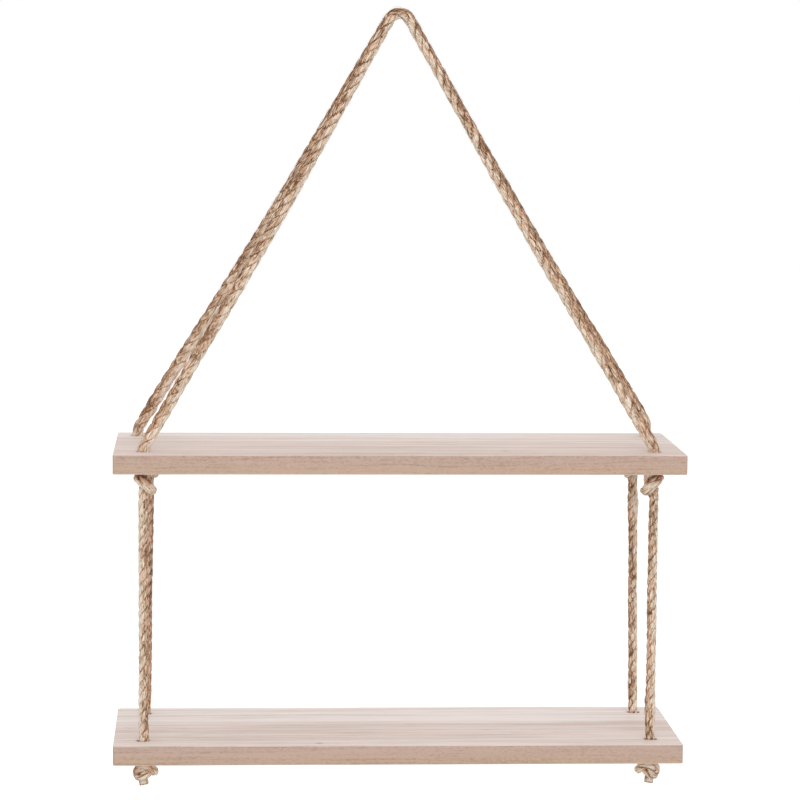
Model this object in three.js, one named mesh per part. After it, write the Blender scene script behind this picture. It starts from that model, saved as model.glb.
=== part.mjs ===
// Hanging rope shelf: two wooden boards, one above the other, carried by two ropes.
// Each rope is one length. It is knotted under the lower board, rises to a knot under the
// upper board, passes through that board, runs up over the hook and comes down the other side.
// Millimetres, +Z up, +Y towards the wall. The origin is the top of the hook, where the
// ropes bear on it, midway between the front rope and the back rope.

import * as THREE from 'three';

const { asin, atan2, cos, hypot, max, min, PI, sin, tan } = Math;

// Boards
const boardLength = 430;
const boardDepth = 150;
const boardThickness = 15;
const edgeEase = 0.6;
const cornerRadius = 1.5;

// Heights of the boards' top faces below the hook
const hookToUpperTop = 324;
const upperToLowerTop = 220;

// Holes, from a board's end and from its long edge to the hole's middle
const holeFromEnd = 22;
const holeFromEdge = 22;
const holeClearance = 0.7;

// How much further out the upper board's back holes lie. The rope comes back in through its knot.
const backHoleOutset = 6.5;

// Rope over the hook and down to the upper board
const runDiameter = 8.6;
const hookDiameter = 10.4;
const ropesGap = 0.4;
const bightLeg = 14;
const bightBendGap = 0.6;

// Rope where it enters the upper board, leaning inwards in its hole
const ropeLean = 0.3;
const turnAboveBoard = 7;
const turnRadius = 14;

// Rope between the boards and its cut ends
const legDiameter = 7.4;
const tailLength = 2.5;

// Rope pulled tight in the knots, and the gap that is left between its passes
const knotRopeDiameter = 4;
const knotPassGap = 0.56;

// Gap between pieces that touch
const touchGap = 0.3;

// Facets
const ropeSides = 10;
const knotSides = 8;
const knotSteps = 40;
const holeSides = 24;
const ropeStep = 24;
const bightSteps = 12;
const turnSteps = 5;
const domeSteps = 4;

// An overhand knot from its middle to its lower end, as shares of the knot's unit.
// The upper half is the same list turned half round the Y axis.
const knotHalfShares = [
  [0, -1.35, 0],
  [0.95, -1.05, 0.5],
  [1.45, 0.6, 0.85],
  [0.55, 1.4, 0.95],
  [-0.55, 0.95, 0.4],
  [-0.3, 0.1, -0.75],
  [-0.1, 0.05, -1.3],
  [0, 0, -1.65],
];
const knotEndShare = 2.5;
const knotStraightShare = 0.3;
const knotCoreShare = 0.4;

// The least distance between two passes of the knot's middle line, as a share of its unit
const knotPassShare = 1.088;
const knotUnit = (knotRopeDiameter + knotPassGap) / knotPassShare;
const knotEnd = knotEndShare * knotUnit;

// Places that follow from the sizes
const upperTop = -hookToUpperTop;
const lowerTop = upperTop - upperToLowerTop;
const upperUnderside = upperTop - boardThickness;
const lowerUnderside = lowerTop - boardThickness;
const holeX = boardLength / 2 - holeFromEnd;
const holeY = boardDepth / 2 - holeFromEdge;
const ropeX = holeX - ropeLean;
const bendRadius = (hookDiameter + runDiameter) / 2;
const holeDiameter = runDiameter + 2 * holeClearance;
const legRadius = legDiameter / 2;

const wood = { color: 0xd8c3b5, roughness: 0.7, metalness: 0 };
const jute = { color: 0xc6a47e, roughness: 0.95, metalness: 0 };

const shelf = new THREE.Group();

function addPiece(name, geometry, finish) {
  const piece = new THREE.Mesh(geometry, new THREE.MeshStandardMaterial(finish));
  piece.name = name;
  shelf.add(piece);
  return piece;
}

// A route through listed points, with one ring of the rope at each point
class RopeRoute extends THREE.Curve {
  constructor(points) {
    super();
    this.points = points;
  }

  getPoint(t, target = new THREE.Vector3()) {
    const last = this.points.length - 1;
    const from = min(Math.floor(t * last), last - 1);
    return target.lerpVectors(this.points[from], this.points[from + 1], t * last - from);
  }

  getPointAt(u, target) {
    return this.getPoint(u, target);
  }

  getTangentAt(u, target = new THREE.Vector3()) {
    const last = this.points.length - 1;
    const here = Math.round(u * last);
    const into = this.directionFrom(max(here - 1, 0));
    const out = this.directionFrom(min(here, last - 1));
    return target.copy(into).add(out).normalize();
  }

  directionFrom(index) {
    return this.points[index + 1].clone().sub(this.points[index]).normalize();
  }
}

// The rope's round section with the given number of sides
function ropeSection(diameter, sides) {
  const corners = [];
  for (let i = 0; i < sides; i += 1) {
    const angle = (2 * PI * i) / sides;
    corners.push(new THREE.Vector2(cos(angle), sin(angle)).multiplyScalar(diameter / 2));
  }
  return new THREE.Shape(corners);
}

function ropeAlong(route, steps, diameter, sides) {
  return new THREE.ExtrudeGeometry(ropeSection(diameter, sides), { steps, extrudePath: route });
}

function ropeThrough(points, diameter) {
  return ropeAlong(new RopeRoute(points), points.length - 1, diameter, ropeSides);
}

// A board with rounded corners, softened edges and four holes, its top face at z = 0
function boardGeometry(backOutset) {
  const x = boardLength / 2;
  const y = boardDepth / 2;
  const r = cornerRadius;
  const outline = new THREE.Shape();
  outline.moveTo(-x + r, -y);
  outline.lineTo(x - r, -y);
  outline.absarc(x - r, -y + r, r, -PI / 2, 0);
  outline.lineTo(x, y - r);
  outline.absarc(x - r, y - r, r, 0, PI / 2);
  outline.lineTo(-x + r, y);
  outline.absarc(-x + r, y - r, r, PI / 2, PI);
  outline.lineTo(-x, -y + r);
  outline.absarc(-x + r, -y + r, r, PI, (3 * PI) / 2);
  for (const side of [-1, 1]) {
    outline.holes.push(holePath(side * holeX, -holeY));
    outline.holes.push(holePath(side * (holeX + backOutset), holeY));
  }
  const geometry = new THREE.ExtrudeGeometry(outline, {
    depth: boardThickness - 2 * edgeEase,
    curveSegments: 3,
    bevelEnabled: true,
    bevelThickness: edgeEase,
    bevelSize: edgeEase,
    bevelOffset: -edgeEase,
    bevelSegments: 1,
  });
  geometry.translate(0, 0, edgeEase - boardThickness);
  return geometry;
}

function holePath(x, y) {
  const corners = [];
  for (let i = 0; i < holeSides; i += 1) {
    const angle = (-2 * PI * i) / holeSides;
    const corner = new THREE.Vector2(cos(angle), sin(angle)).multiplyScalar(holeDiameter / 2);
    corners.push(corner.add(new THREE.Vector2(x, y)));
  }
  return new THREE.Path(corners);
}

// The middle line of a knot whose centre is the origin. It leans, with its upper end further out.
function knotRoute(mirror, halfTurned, outset) {
  const straight = knotEndShare - knotStraightShare;
  const lower = knotHalfShares.map(([x, y, z]) => new THREE.Vector3(x, y, z));
  lower.push(new THREE.Vector3(0, 0, -straight), new THREE.Vector3(0, 0, -knotEndShare));
  const upper = lower.slice(1).map((p) => new THREE.Vector3(-p.x, p.y, -p.z));
  const shares = [...upper.reverse(), ...lower];
  const turn = halfTurned ? -1 : 1;
  for (const p of shares) {
    const leanShare = (min(max(p.z / straight, -1), 1) + 1) / 2;
    p.set(p.x * mirror * turn, p.y * turn, p.z).multiplyScalar(knotUnit);
    p.x += mirror * outset * leanShare;
  }
  return new THREE.CatmullRomCurve3(shares, false, 'centripetal');
}

// How far the knot reaches above and below its centre, round the rope's own line
function knotHalfHeight() {
  const outer = knotRoute(1, false, 0)
    .getSpacedPoints(4 * knotSteps)
    .filter((p) => hypot(p.x, p.y) > knotCoreShare * knotUnit);
  return max(...outer.map((p) => p.z)) + knotRopeDiameter / 2;
}

// The least gap between two passes of one knot, measured on points along its middle line
function knotGapToItself(outset) {
  const points = knotRoute(1, false, outset).getSpacedPoints(8 * knotSteps);
  const step = points[0].distanceTo(points[1]);
  const apart = Math.ceil((2 * knotRopeDiameter) / step);
  let least = Infinity;
  for (let i = 0; i < points.length; i += 1) {
    for (let j = i + apart; j < points.length; j += 1) {
      least = min(least, points[i].distanceTo(points[j]));
    }
  }
  return least - knotRopeDiameter;
}

const knotDrop = knotHalfHeight() + touchGap;
const upperKnotZ = upperUnderside - knotDrop;
const lowerKnotZ = lowerUnderside - knotDrop;
const legTop = upperKnotZ - knotEnd - touchGap;
const legUpperPivot = legTop - legRadius;

// How far out of the legs' line the rope goes through the upper board
function upperOutset(row) {
  return row > 0 ? backHoleOutset : 0;
}

// One rope's way over the hook. row is -1 for the front rope and 1 for the back rope.
// The rope lies in a plane that holds the X direction and the slanting direction `down`.
function ropeOverHook(row) {
  const x = ropeX + upperOutset(row);
  const top = new THREE.Vector3(0, (row * (runDiameter + ropesGap)) / 2, runDiameter / 2);
  const corner = new THREE.Vector3(0, row * holeY, upperTop + turnAboveBoard);
  const down = corner.clone().sub(top);
  const reach = down.length() - bendRadius;
  down.normalize();
  const slant = atan2(x, reach) - asin(bendRadius / hypot(x, reach));
  const centre = top.clone().addScaledVector(down, bendRadius);
  return { x, centre, corner, down, slant };
}

function pointOnBend({ centre, down }, angle) {
  const across = new THREE.Vector3(bendRadius * sin(angle), 0, 0);
  return centre.clone().add(across).addScaledVector(down, -bendRadius * cos(angle));
}

function runDirection({ down, slant }, side) {
  return new THREE.Vector3(side * sin(slant), 0, 0).addScaledVector(down, cos(slant));
}

// The stretch that bears on the hook, with a short straight leg on each side
function bightPoints(row) {
  const way = ropeOverHook(row);
  const half = PI / 2 - way.slant;
  const points = [];
  for (let i = 0; i <= bightSteps; i += 1) {
    points.push(pointOnBend(way, -half + (2 * half * i) / bightSteps));
  }
  const left = points[0].clone().addScaledVector(runDirection(way, -1), bightLeg);
  const right = points[bightSteps].clone().addScaledVector(runDirection(way, 1), bightLeg);
  return [left, ...points, right];
}

// The stretch from the hook down to the upper board and through its hole
function runPoints(row, side) {
  const way = ropeOverHook(row);
  const along = runDirection(way, side);
  const corner = way.corner.clone().setX(side * way.x);
  const start = pointOnBend(way, side * (PI / 2 - way.slant));
  start.addScaledVector(along, bightLeg + bightBendGap);
  const turn = along.angleTo(new THREE.Vector3(0, 0, -1));
  const cut = turnRadius * tan(turn / 2);
  const turnStart = corner.clone().addScaledVector(along, -cut);
  const turnEnd = corner.clone().setZ(corner.z - cut);
  const steps = Math.ceil(start.distanceTo(turnStart) / ropeStep);
  const points = [];
  for (let i = 0; i < steps; i += 1) {
    points.push(start.clone().lerp(turnStart, i / steps));
  }
  points.push(...new THREE.QuadraticBezierCurve3(turnStart, corner, turnEnd).getPoints(turnSteps));
  points.push(turnEnd.clone().setZ(upperKnotZ + knotEnd + touchGap));
  return points;
}

// A straight upright stretch of rope between two heights
function uprightPoints(side, row, high, low) {
  return [
    new THREE.Vector3(side * ropeX, row * holeY, high),
    new THREE.Vector3(side * ropeX, row * holeY, low),
  ];
}

// The rope between the boards. Its round ends turn about the points where it bends:
// under the upper knot, and in the mouth of the lower board's hole.
function legGeometry() {
  const profile = [];
  for (let i = 0; i <= domeSteps; i += 1) {
    const angle = (PI / 2) * (i / domeSteps);
    profile.push(new THREE.Vector2(sin(angle), -cos(angle)).multiplyScalar(legRadius));
  }
  const length = legUpperPivot - lowerTop;
  const upper = profile.map((p) => new THREE.Vector2(p.x, length - p.y)).reverse();
  const geometry = new THREE.LatheGeometry([...profile, ...upper], ropeSides);
  geometry.rotateX(PI / 2);
  return geometry;
}

function addBoard(name, top, backOutset) {
  const board = addPiece(name, boardGeometry(backOutset), wood);
  board.position.set(0, 0, top);
}

function addKnot(name, side, row, z, halfTurned, outset) {
  const route = knotRoute(side, halfTurned, outset);
  const knot = addPiece(name, ropeAlong(route, knotSteps, knotRopeDiameter, knotSides), jute);
  knot.position.set(side * ropeX, row * holeY, z);
}

function addRopeSide(rowName, row, sideName, side) {
  const place = `${rowName}_${sideName}`;
  addPiece(`${place}_rope_run`, ropeThrough(runPoints(row, side), runDiameter), jute);
  addKnot(`${place}_upper_knot`, side, row, upperKnotZ, false, upperOutset(row));
  const leg = addPiece(`${place}_rope_leg`, legGeometry(), jute);
  leg.position.set(side * ropeX, row * holeY, lowerTop);
  const stubTop = lowerTop - legRadius - touchGap;
  const stubEnd = lowerKnotZ + knotEnd + touchGap;
  const stub = uprightPoints(side, row, stubTop, stubEnd);
  addPiece(`${place}_hole_rope`, ropeThrough(stub, legDiameter), jute);
  addKnot(`${place}_lower_knot`, side, row, lowerKnotZ, true, 0);
  const tailTop = lowerKnotZ - knotEnd - touchGap;
  const tail = uprightPoints(side, row, tailTop, tailTop - tailLength);
  addPiece(`${place}_rope_tail`, ropeThrough(tail, legDiameter), jute);
}

addBoard('upper_board', upperTop, backHoleOutset);
addBoard('lower_board', lowerTop, 0);
for (const [rowName, row] of [['front', -1], ['back', 1]]) {
  addPiece(`${rowName}_rope_bight`, ropeThrough(bightPoints(row), runDiameter), jute);
  for (const [sideName, side] of [['left', -1], ['right', 1]]) {
    addRopeSide(rowName, row, sideName, side);
  }
}

// The height about which the shelf swings: where a rope's two straight runs would meet
const frontWay = ropeOverHook(-1);
const leave = pointOnBend(frontWay, PI / 2 - frontWay.slant);
const back = leave.x / sin(frontWay.slant);
const swingHeight = leave.addScaledVector(runDirection(frontWay, 1), -back).z;

console.log('least gap of a knot to itself, mm:', knotGapToItself(0).toFixed(3));
console.log('least gap of a leaning knot to itself, mm:', knotGapToItself(backHoleOutset).toFixed(3));
console.log('swing height, mm:', swingHeight.toFixed(3));
console.log('upper pivot of the legs, mm:', legUpperPivot.toFixed(3));

export default shelf;
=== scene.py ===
"""Hanging rope shelf: two whitewashed boards on two ropes of twisted jute, dressed round the frame.

Lengths are in millimetres until a mesh is made, and then in metres, in the frame's own axes:
+Z up, +Y towards the wall, the origin on top of the hook where the ropes bear on it.
"""

import math

import bpy
import numpy as np
from bpy.props import FloatProperty, FloatVectorProperty, PointerProperty
from mathutils import Matrix, Vector, geometry


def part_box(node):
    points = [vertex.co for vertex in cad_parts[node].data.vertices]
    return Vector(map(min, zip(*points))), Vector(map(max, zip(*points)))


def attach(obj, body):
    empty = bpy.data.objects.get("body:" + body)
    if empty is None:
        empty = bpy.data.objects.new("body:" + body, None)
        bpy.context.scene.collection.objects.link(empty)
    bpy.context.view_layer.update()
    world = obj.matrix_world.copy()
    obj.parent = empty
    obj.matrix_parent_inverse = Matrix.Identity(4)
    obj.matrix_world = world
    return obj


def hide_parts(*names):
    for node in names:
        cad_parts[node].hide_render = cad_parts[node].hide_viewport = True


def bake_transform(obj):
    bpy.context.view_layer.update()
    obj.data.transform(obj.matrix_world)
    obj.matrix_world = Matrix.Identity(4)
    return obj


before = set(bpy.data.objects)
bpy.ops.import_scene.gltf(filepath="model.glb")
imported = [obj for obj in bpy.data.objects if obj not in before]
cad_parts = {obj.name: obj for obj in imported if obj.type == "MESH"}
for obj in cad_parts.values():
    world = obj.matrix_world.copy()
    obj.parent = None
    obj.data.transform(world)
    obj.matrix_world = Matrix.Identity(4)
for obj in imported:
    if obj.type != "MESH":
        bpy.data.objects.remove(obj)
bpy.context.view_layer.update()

bl_info = {
    "name": "Hanging Rope Shelf",
    "version": (1, 0, 0),
    "blender": (4, 5, 0),
    "location": "View3D > Sidebar > Rope Shelf",
    "description": "Boards, twisted ropes, knots and a plain stage for a hanging rope shelf",
    "category": "Object",
}

MM = 0.001
# Which way each row and each side lies from the middle: towards the wall, and to the right
ROWS = {"front": -1, "back": 1}
SIDES = {"left": -1, "right": 1}


# Places that follow from the frame, in millimetres

def box_mm(node):
    low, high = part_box(node)
    return np.array(low) / MM, np.array(high) / MM


UPPER_LOW, UPPER_HIGH = box_mm("upper_board")
LOWER_LOW, LOWER_HIGH = box_mm("lower_board")
LEG_LOW, LEG_HIGH = box_mm("front_right_rope_leg")
ROPE_X = (LEG_LOW[0] + LEG_HIGH[0]) / 2
ROPE_Y = -(LEG_LOW[1] + LEG_HIGH[1]) / 2
BOARD_X = UPPER_HIGH[0]


# What a user would change

def mm_property(name, description, default, low, high):
    description += ", in millimetres"
    return FloatProperty(name=name, description=description, default=default, min=low, max=high)


def number_property(name, description, default, high):
    return FloatProperty(name=name, description=description, default=default, min=0.0, max=high)


def colour_property(name, description, default):
    return FloatVectorProperty(
        name=name, description=description, subtype="COLOR", size=3, min=0.0, max=1.0, default=default)


class BoardSettings(bpy.types.PropertyGroup):
    edge_radius: mm_property("Edge radius", "Radius of the sanded edges", 0.9, 0.1, 3.0)
    corner_radius: mm_property("Corner radius", "Radius of the boards' upright corners", 1.6, 1.0, 10.0)
    hole_inset: mm_property(
        "Hole inset", "From a board's end or edge to the middle of a hole", 22.0, 10.0, 40.0)
    back_outset: mm_property(
        "Back outset", "How much further out the upper board's back holes lie", 6.5, 0.0, 9.0)
    hole_diameter: mm_property("Hole diameter", "Diameter of the holes for the rope", 10.0, 6.0, 20.0)
    face_colour: colour_property(
        "Face colour", "Whitewashed wood between the growth rings", (0.575, 0.412, 0.335))
    ring_colour: colour_property("Ring colour", "Late wood of the growth rings", (0.42, 0.265, 0.195))
    wash_colour: colour_property(
        "Wash colour", "White that is left on the broad faces", (0.865, 0.738, 0.682))


class RopeSettings(bpy.types.PropertyGroup):
    run_diameter: mm_property("Rope above", "Diameter of the rope over the hook", 8.6, 4.0, 16.0)
    leg_diameter: mm_property("Rope between", "Diameter of the rope between the boards", 7.4, 4.0, 16.0)
    hook_diameter: mm_property("Hook", "Diameter of the hook that the rope bends round", 9.0, 4.0, 30.0)
    ropes_gap: mm_property("Gap at the hook", "Gap between the two ropes on the hook", 0.4, 0.0, 5.0)
    turn_height: mm_property(
        "Turn height", "Height above the board at which the front rope turns down", 2.2, 1.0, 20.0)
    back_left_turn_height: mm_property(
        "Back left turn height", "The same height for the back rope over its left hole", 5.0, 1.0, 20.0)
    back_right_turn_height: mm_property(
        "Back right turn height", "The same height for the back rope over its right hole", 11.0, 1.0, 20.0)
    turn_radius: mm_property("Turn radius", "Radius of the rope's bend over its hole", 17.0, 4.0, 40.0)
    sag: mm_property("Sag", "How far a slanting rope hangs below a straight line", 4.0, 0.0, 8.0)
    run_lay: mm_property("Lay above", "Length of one turn of a strand over the hook", 33.0, 15.0, 90.0)
    leg_lay: mm_property(
        "Lay between", "Length of one turn of a strand between the boards", 25.0, 15.0, 90.0)
    leg_lean: mm_property("Lean", "How far a rope hangs inwards at its lower hole", 0.4, 0.0, 1.2)
    back_lean: mm_property("Back lean", "How far inwards a back rope leaves its upper knot", 3.0, 0.0, 4.0)
    # Painted light and shade: the slanting ropes are painted paler on their lower side and darker on their
    # upper side
    run_side: number_property(
        "Bleaching above", "How much paler the slanting ropes are on their lower side", 0.30, 0.5)
    # Painted light and shade: the ropes between the boards are painted paler on their outer side and darker
    # on their inner side
    leg_painted_shading: number_property(
        "Bleaching between", "How much paler the ropes between the boards are on their outer side", 0.28, 0.5)
    hairs_per_mm: number_property("Hairs", "Loose fibres on each millimetre of rope", 5.0, 6.0)
    # The dark fibre colour also paints the shade in the grooves between strands
    dark_colour: colour_property(
        "Dark fibre", "Darkest fibres and the grooves between strands", (0.15, 0.072, 0.036))
    mid_colour: colour_property("Middle fibre", "Most of the rope", (0.72, 0.50, 0.345))
    pale_colour: colour_property("Pale fibre", "Bleached fibres", (0.96, 0.85, 0.73))


class KnotSettings(bpy.types.PropertyGroup):
    rope_diameter: mm_property(
        "Rope in the knot", "Diameter of the rope pulled tight in a knot", 6.8, 3.0, 12.0)
    across_scale: mm_property("Width unit", "Size of the knot's unit across", 3.7, 2.0, 8.0)
    height_scale: mm_property("Height unit", "Size of the knot's unit along the rope", 6.0, 2.0, 9.0)
    inward: mm_property("Inward", "How far the middle of an upper knot lies inwards", 1.8, 0.0, 4.0)
    # Painted light: the knots on the right are painted paler, as if more light fell on them from the right
    right_painted_light: number_property("Painted side light", "How much paler the knots on the right are", 0.07, 0.5)
    lay: mm_property("Lay in the knot", "Length of one turn of a strand in a knot", 25.0, 12.0, 60.0)
    tail_length: mm_property("Tail", "How far a cut end stands below its knot", 1.8, 1.0, 20.0)


class StageSettings(bpy.types.PropertyGroup):
    floor_drop: FloatProperty(
        name="Floor", description="Height of the hook above the floor",
        default=2.3, min=0.6, subtype="DISTANCE", unit="LENGTH")
    focal_length: mm_property("Lens", "Focal length of the camera", 153.0, 20.0, 500.0)
    floor_glow: number_property("Floor glow", "What brings the floor up to white where it is seen", 0.5, 1.0)
    fill_light: number_property("Room light", "Strength of the even light from all round", 0.79, 5.0)
    key_light: number_property("Soft box", "Power of the soft box above the shelf, in watts", 19.0, 500.0)


# Materials

def plain(operation):
    return lambda self, other: self.math(operation, self, other)


def reflected(operation):
    return lambda self, other: self.math(operation, other, self)


class Signal:
    """A shader socket on which sums can be written. Each operation adds its Math node."""

    def __init__(self, nodes, socket):
        self.nodes = nodes
        self.socket = socket

    def math(self, operation, *values):
        return self.nodes.add("ShaderNodeMath", {"operation": operation}, dict(enumerate(values)))

    def size(self):
        return self.math("ABSOLUTE", self)

    def fraction(self):
        return self.math("FRACT", self)

    __add__, __radd__ = plain("ADD"), reflected("ADD")
    __sub__, __rsub__ = plain("SUBTRACT"), reflected("SUBTRACT")
    __mul__, __rmul__ = plain("MULTIPLY"), reflected("MULTIPLY")
    __truediv__, __rtruediv__ = plain("DIVIDE"), reflected("DIVIDE")
    __pow__, __rpow__ = plain("POWER"), reflected("POWER")
    highest = plain("MAXIMUM")


class Nodes:
    """A node tree and the one method that adds nodes to it."""

    def __init__(self, tree):
        self.tree = tree

    def add(self, kind, settings=None, sockets=None, give=0):
        node = self.tree.nodes.new(kind)
        for key, value in (settings or {}).items():
            if key == "stops":
                self.set_stops(node.color_ramp, value)
            else:
                setattr(node, key, value)
        for key, value in (sockets or {}).items():
            self.feed(node.inputs[key], value)
        return Signal(self, node.outputs[give])

    def set_stops(self, ramp, stops):
        while len(ramp.elements) < len(stops):
            ramp.elements.new(1.0)
        for element, (place, colour) in zip(ramp.elements, stops):
            element.position = place
            element.color = (*colour, 1.0)

    def feed(self, socket, value):
        if isinstance(value, Signal):
            self.tree.links.new(value.socket, socket)
        elif socket.type == "RGBA":
            socket.default_value = (*value, 1.0)
        else:
            socket.default_value = value

    def background_rays(self):
        """1 for the rays that see the plain background, and 0 for those that light the shelf."""
        ray = self.add("ShaderNodeLightPath").socket.node
        camera, glossy, clear = (Signal(self, ray.outputs[f"Is {kind} Ray"])
                                 for kind in ("Camera", "Glossy", "Transmission"))
        return camera.highest(glossy).highest(clear)


class Finish(Nodes):
    """A material with its surface shader."""

    def __init__(self, name):
        self.material = bpy.data.materials.new(name)
        self.material.use_nodes = True
        super().__init__(self.material.node_tree)
        self.surface = self.tree.nodes["Principled BSDF"]

    def set_surface(self, **sockets):
        for key, value in sockets.items():
            self.feed(self.surface.inputs[key.replace("_", " ").title()], value)

    def stretched(self, vector, scale):
        return self.add("ShaderNodeVectorMath", {"operation": "MULTIPLY"}, {0: vector, 1: scale})

    def noise(self, vector, scale, detail=2.0, roughness=0.5):
        """Its scale says how many patterns there are in a millimetre, along each axis."""
        spread = self.stretched(vector, scale)
        sockets = {"Vector": spread, "Scale": 1.0, "Detail": detail, "Roughness": roughness}
        return self.add("ShaderNodeTexNoise", None, sockets)

    def parts(self, vector):
        split = self.add("ShaderNodeSeparateXYZ", None, {0: vector})
        node = split.socket.node
        return [Signal(self, output) for output in node.outputs]

    def step(self, value, low, high):
        """0 below low, 1 above high and smooth between."""
        return self.add("ShaderNodeMapRange", {"interpolation_type": "SMOOTHSTEP"},
                        {"Value": value, "From Min": low, "From Max": high})

    def mixed(self, first, second, share, blend="MIX"):
        settings = {"data_type": "RGBA", "blend_type": blend}
        return self.add("ShaderNodeMix", settings, {0: share, 6: first, 7: second}, give=2)

    def bumped(self, height, distance):
        return self.add("ShaderNodeBump", None, {"Height": height, "Distance": distance})


# Millimetres from one growth ring to the next
RING_GAP = 2.6

# How the boards' wood differs: where its pith runs (backwards and up from the board's middle), where its
# pattern starts, where its fleck lies (to the right and backwards from the middle), and how much whiter its
# wash is: for the lower board that is painted light against the upper board's shade
GRAIN = {
    "upper": {"pith": (35.0, -70.0), "seed": 130.0, "fleck": (80.0, -49.0), "painted_light_and_tone": 0.0},
    "lower": {"pith": (-25.0, -48.0), "seed": 900.0, "fleck": (-60.0, -66.0), "painted_light_and_tone": 0.5},
}


def wood_finish(name, board, middle_z, pith, seed, fleck, painted_light_and_tone):
    """Flat-sawn softwood. The growth rings go round a pith that runs along the board."""
    look = Finish(name)
    place = look.add("ShaderNodeTexCoord", give=3)
    place = look.stretched(place, (1 / MM, 1 / MM, 1 / MM))
    shift = (seed, 0.0, -middle_z)
    place = look.add("ShaderNodeVectorMath", {"operation": "ADD"}, {0: place, 1: shift})
    x, y, z = look.parts(place)
    half = (UPPER_HIGH[2] - UPPER_LOW[2]) / 2
    on_face = look.step(z.size(), half - 1.0, half - 0.1)
    slow = look.noise(place, (0.0045, 0.018, 0.03)) - 0.5
    wander = look.noise(place, (0.02, 0.07, 0.09)) - 0.5
    from_pith_y = y - pith[0] + slow * 26
    from_pith_z = z - pith[1] + slow * 22 + wander * 3.5
    from_pith = (from_pith_y ** 2 + from_pith_z ** 2) ** 0.5
    ring_width = look.noise(place, (0.001, 0.012, 0.012), 1.0)
    late = (from_pith / RING_GAP + ring_width * 3).fraction()
    late_line = look.step(late, 0.74, 0.95) * (1 - look.step(late, 0.95, 1.0))
    strength = look.noise(place, (0.012, 0.16, 0.22))
    late_line = late_line * look.step(strength, 0.38, 0.62)
    fibres = look.noise(place, (0.03, 0.9, 0.9), 3.0, 0.65)
    fine = look.noise(place, (0.16, 3.6, 3.6))
    speckle = look.noise(place, (0.5, 1.1, 1.1), 1.0)
    bands = look.noise(place, (0.0018, 0.045, 0.10))
    streaks = look.noise(place, (0.0045, 0.15, 0.42), 2.0, 0.6)
    tone = late_line * 0.36 + (bands - 0.5) * 0.35 + (streaks - 0.5) * 0.7
    tone = tone + (fibres - 0.5) * 0.9 + (fine - 0.5) * 0.95 + (speckle - 0.5) * 1.25 + 0.2
    wood = look.mixed(board.face_colour, board.ring_colour, look.step(tone, 0.0, 1.0))
    pale_half = look.step(y + slow * 40, 4.0, 22.0)
    wash = 0.71 + pale_half * 0.12 - late_line * 0.14 - (fibres - 0.5) * 0.9 - (bands - 0.5) * 0.6
    wash = on_face * (wash - (streaks - 0.5) * 1.2)
    warm = look.step(look.noise(place, (0.02, 0.25, 0.4)) * 9.0 - z, 2.0, 9.0)
    wood = look.mixed(wood, (1.0, 0.98, 0.90), warm, "MULTIPLY")
    # Painted light: the lower board's wash is whiter, to make up for the shade of the upper board above it
    whiter = look.mixed(board.wash_colour, (0.97, 0.88, 0.84), pale_half * 0.5 + painted_light_and_tone)
    colour = look.mixed(wood, whiter, wash)
    tint = look.step(look.noise(place, (0.01, 0.07, 0.25)), 0.35, 0.65)
    colour = look.mixed(colour, (0.93, 0.97, 0.98), tint * 0.6, "MULTIPLY")
    far_x, far_y = (x - seed - fleck[0]) / 3.6, (y - fleck[1]) / 1.7
    dark_fleck = on_face * (1 - look.step(far_x ** 2 + far_y ** 2 + (fine - 0.5) * 1.2, 0.25, 1.1))
    colour = look.mixed(colour, (0.42, 0.30, 0.25), dark_fleck * 0.8, "MULTIPLY")
    at_end = look.step((x - seed).size(), BOARD_X - 0.9, BOARD_X - 0.2)
    colour = look.mixed(colour, (0.86, 0.80, 0.76), at_end * 0.6, "MULTIPLY")
    height = fibres * 0.6 + fine * 0.35 - late_line * 0.25
    look.set_surface(base_color=colour, roughness=0.62 + (fibres - 0.5) * 0.2)
    look.set_surface(normal=look.bumped(height, 0.00011))
    look.feed(look.surface.inputs["Specular IOR Level"], 0.35)
    return look.material


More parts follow.
